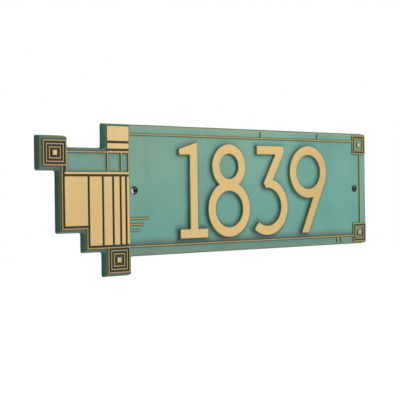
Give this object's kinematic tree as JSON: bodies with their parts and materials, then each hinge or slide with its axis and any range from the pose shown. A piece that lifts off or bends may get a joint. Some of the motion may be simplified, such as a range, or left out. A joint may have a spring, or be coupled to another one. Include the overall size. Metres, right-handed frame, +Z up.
{
  "type": "house number plaque",
  "caption": "Cast metal house number plaque with a stepped end, raised border lines, panels and figures, fixed flat to a wall by pan-head screws.",
  "frame": {"origin": "midway between the two mounting screws, on the wall plane at the plate's flat back", "axes": "+X along the plaque to the right as it is read, +Y into the wall along the screws, +Z up; the face looks along -Y"},
  "size_m": [0.4617, 0.0415, 0.1522],
  "materials": {
    "plaque": "satin verdigris paint with gold on the raised tops",
    "mounting_screws": "dark polished steel"
  },
  "bodies": {
    "root": {"plaque": "plaque", "mounting_screws": "mounting_screws"}
  },
  "joints": []
}
